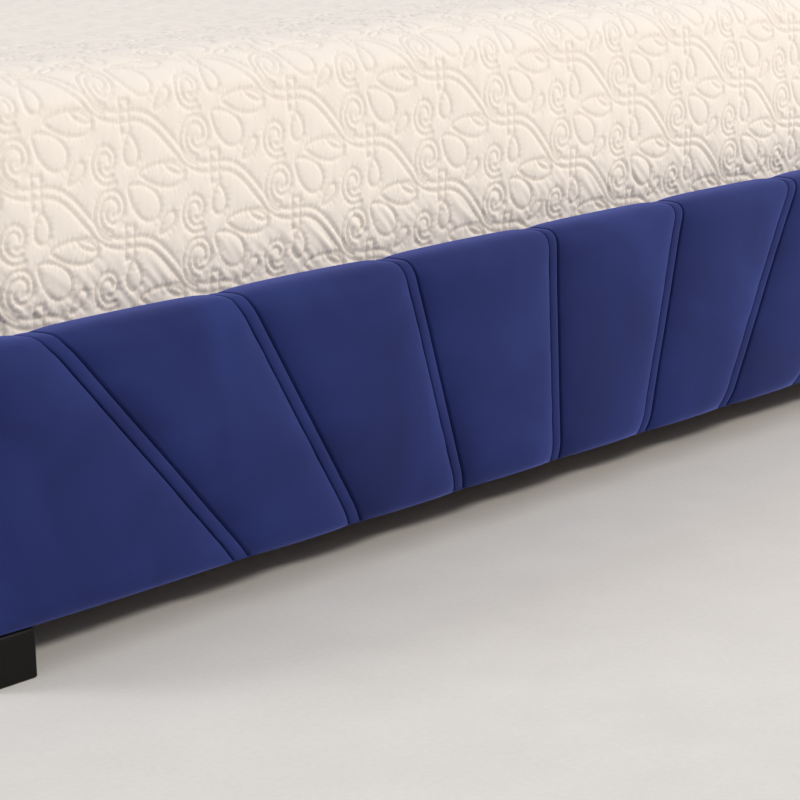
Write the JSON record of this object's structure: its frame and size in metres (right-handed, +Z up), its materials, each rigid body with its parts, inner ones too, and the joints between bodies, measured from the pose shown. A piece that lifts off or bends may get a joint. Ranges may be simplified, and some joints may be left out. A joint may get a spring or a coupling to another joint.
{
  "type": "upholstered headboard bed",
  "caption": "Low platform bed with a fan-stitched velvet headboard and footboard, padded side rails, block legs, a slatted base, and a mattress under a quilted coverlet.",
  "frame": {"origin": "on the floor, under the middle of the bed's outer box", "axes": "+Z up; +Y from the foot of the bed to the head; +X to the right of someone who stands at the foot and faces the head"},
  "size_m": [1.65, 2.2, 1.12],
  "materials": {
    "velvet": "matte",
    "foam": "matte",
    "timber": "satin",
    "hardboard": "matte",
    "black_plastic": "satin",
    "black_steel": "satin",
    "zinc_steel": "satin",
    "mattress_ticking": "matte",
    "quilted_cotton": "matte"
  },
  "bodies": {
    "frame": {"centre_beam": "timber", "foot_beam_hanger": "zinc_steel", "foot_left_bracket": "zinc_steel", "foot_left_end_bolt": "zinc_steel", "foot_left_leg": "black_plastic", "foot_left_rail_bolt": "zinc_steel", "foot_right_bracket": "zinc_steel", "foot_right_end_bolt": "zinc_steel", "foot_right_leg": "black_plastic", "foot_right_rail_bolt": "zinc_steel", "foot_support_leg": "black_steel", "footboard_bottom_rail": "timber", "footboard_cover": "velvet", "footboard_face_board": "hardboard", "footboard_foam": "foam", "footboard_left_post": "timber", "footboard_right_post": "timber", "footboard_top_rail": "timber", "head_beam_hanger": "zinc_steel", "head_left_bracket": "zinc_steel", "head_left_end_bolt": "zinc_steel", "head_left_leg": "black_plastic", "head_left_rail_bolt": "zinc_steel", "head_right_bracket": "zinc_steel", "head_right_end_bolt": "zinc_steel", "head_right_leg": "black_plastic", "head_right_rail_bolt": "zinc_steel", "head_support_leg": "black_steel", "headboard_bottom_rail": "timber", "headboard_cover": "velvet", "headboard_face_board": "hardboard", "headboard_foam": "foam", "headboard_left_post": "timber", "headboard_right_post": "timber", "headboard_top_rail": "timber", "left_rail_board": "timber", "left_rail_cover": "velvet", "left_rail_foam": "foam", "left_rail_ledger": "timber", "middle_support_leg": "black_steel", "right_rail_board": "timber", "right_rail_cover": "velvet", "right_rail_foam": "foam", "right_rail_ledger": "timber", "slat_01": "timber", "slat_02": "timber", "slat_03": "timber", "slat_04": "timber", "slat_05": "timber", "slat_06": "timber", "slat_07": "timber", "slat_08": "timber", "slat_09": "timber", "slat_10": "timber", "slat_11": "timber"},
    "mattress": {"mattress": "mattress_ticking", "coverlet": "quilted_cotton"},
    "foot_levelling_foot": {"foot_levelling_foot": "black_plastic"},
    "middle_levelling_foot": {"middle_levelling_foot": "black_plastic"},
    "head_levelling_foot": {"head_levelling_foot": "black_plastic"}
  },
  "joints": [
    {"name": "mattress_lift", "type": "slide", "parent": "frame", "child": "mattress", "axis": [0, 0, 1], "range_m": [0, 0.45]},
    {"name": "foot_foot_level", "type": "slide", "parent": "frame", "child": "foot_levelling_foot", "axis": [0, 0, 1], "range_m": [0, 0.011]},
    {"name": "middle_foot_level", "type": "slide", "parent": "frame", "child": "middle_levelling_foot", "axis": [0, 0, 1], "range_m": [0, 0.011]},
    {"name": "head_foot_level", "type": "slide", "parent": "frame", "child": "head_levelling_foot", "axis": [0, 0, 1], "range_m": [0, 0.011]}
  ]
}
